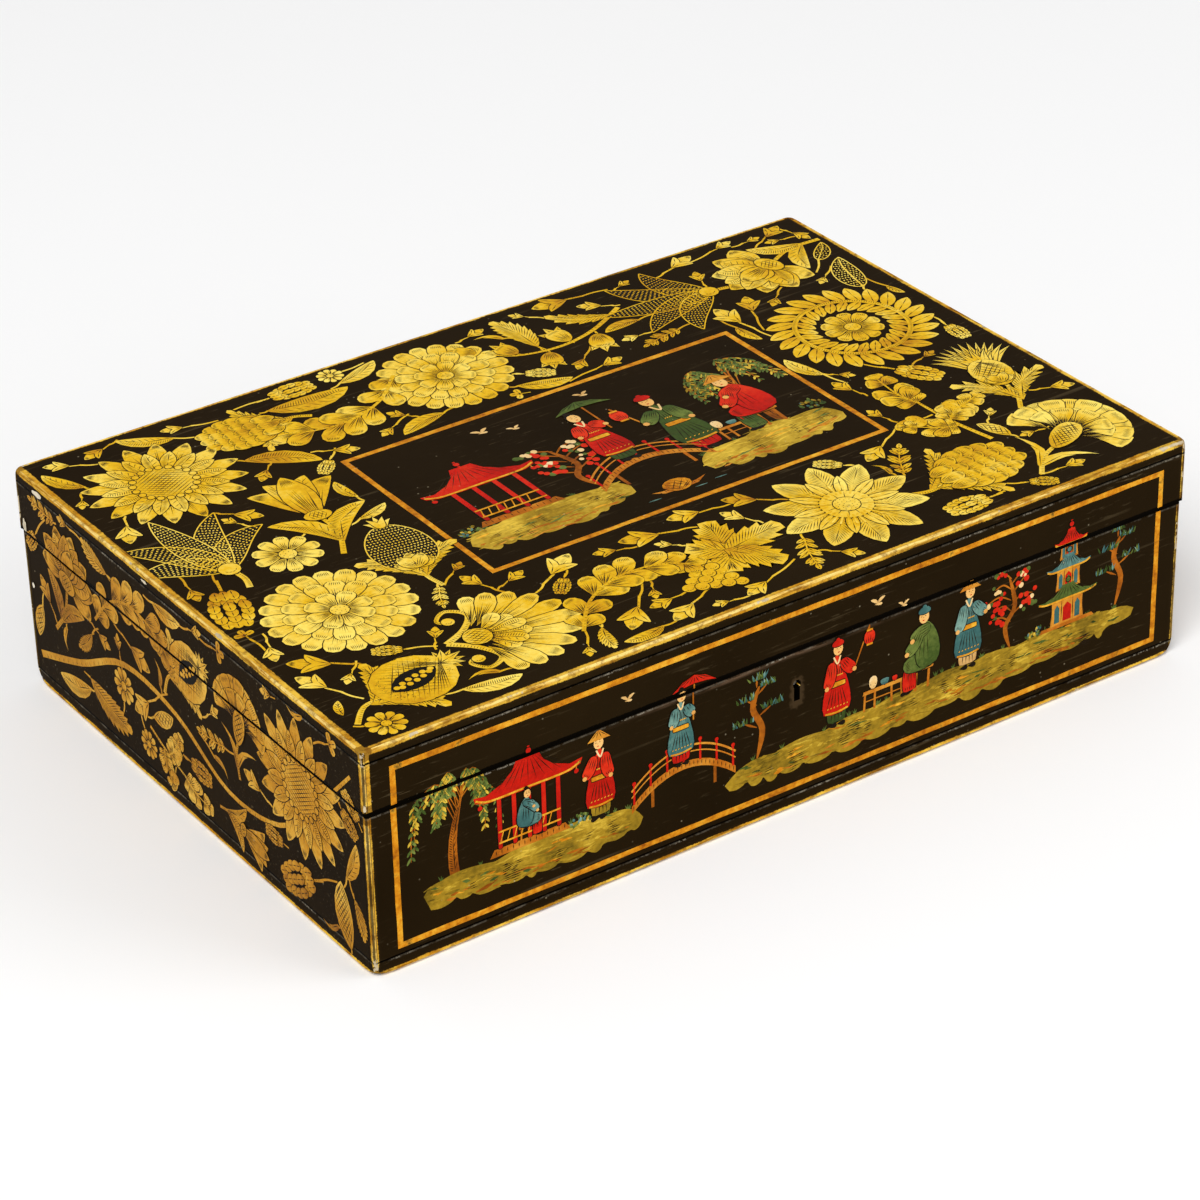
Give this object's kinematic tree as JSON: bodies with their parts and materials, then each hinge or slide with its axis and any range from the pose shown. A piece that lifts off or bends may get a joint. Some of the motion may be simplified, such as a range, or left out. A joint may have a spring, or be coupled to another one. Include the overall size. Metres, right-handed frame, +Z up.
{
  "type": "hinged pen box",
  "caption": "Hinged wooden table box with a locking lid, black japanned boards and a lift-out pen tray inside.",
  "frame": {"origin": "centre of the underside of the case, on the surface that it stands on", "axes": "+X to the right along the front, +Y from the front with the keyhole to the hinged back, +Z up"},
  "size_m": [0.305, 0.2125, 0.078],
  "materials": {
    "japanned_wood": "aged glossy black lacquer over wood, with gold penwork and painted scenes",
    "bare_wood": "waxed cedar",
    "lining_paper": "matt, faded",
    "brass": "aged, dull",
    "lock_steel": "dark, worn"
  },
  "bodies": {
    "case": {"bottom_board": "japanned_wood", "case_front": "japanned_wood", "case_back": "japanned_wood", "case_left": "japanned_wood", "case_right": "japanned_wood", "hinge_left_case_leaf": "brass", "hinge_left_pin": "brass", "hinge_left_case_screw_a": "brass", "hinge_left_case_screw_b": "brass", "hinge_right_case_leaf": "brass", "hinge_right_pin": "brass", "hinge_right_case_screw_a": "brass", "hinge_right_case_screw_b": "brass", "lock_case": "brass", "lock_cap": "brass", "lock_key_post": "lock_steel", "lock_spring": "lock_steel", "selvedge_screw_left": "brass", "selvedge_screw_right": "brass", "lock_screw_left": "brass", "lock_screw_right": "brass", "floor_lining": "lining_paper", "ledge_front": "bare_wood", "ledge_back": "bare_wood", "ledge_left": "bare_wood", "ledge_right": "bare_wood"},
    "lid": {"lid_top_board": "japanned_wood", "lid_front": "japanned_wood", "lid_back": "japanned_wood", "lid_left": "japanned_wood", "lid_right": "japanned_wood", "lid_lining": "lining_paper", "hinge_left_lid_leaf": "brass", "hinge_left_lid_screw_a": "brass", "hinge_left_lid_screw_b": "brass", "hinge_right_lid_leaf": "brass", "hinge_right_lid_screw_a": "brass", "hinge_right_lid_screw_b": "brass", "link_plate": "brass", "link_loop_left": "brass", "link_loop_right": "brass", "link_screw_left": "brass", "link_screw_right": "brass"},
    "lock_bolt": {"lock_bolt": "lock_steel"},
    "tray": {"tray_bottom": "bare_wood", "tray_front": "bare_wood", "tray_back": "bare_wood", "tray_left": "bare_wood", "tray_right": "bare_wood", "pen_divider": "bare_wood", "well_divider_1": "bare_wood", "well_divider_2": "bare_wood", "tray_knob_left": "brass", "tray_knob_right": "brass"}
  },
  "joints": [
    {"name": "lid_hinge", "type": "hinge", "parent": "case", "child": "lid", "pos_m": [0, 0.1063, 0.05615], "axis": [-1, 0, 0], "range_deg": [0, 100]},
    {"name": "bolt_throw", "type": "slide", "parent": "case", "child": "lock_bolt", "axis": [1, 0, 0], "range_m": [0, 0.0037]},
    {"name": "tray_lift", "type": "slide", "parent": "case", "child": "tray", "axis": [0, 0, 1], "range_m": [0, 0.01]}
  ]
}
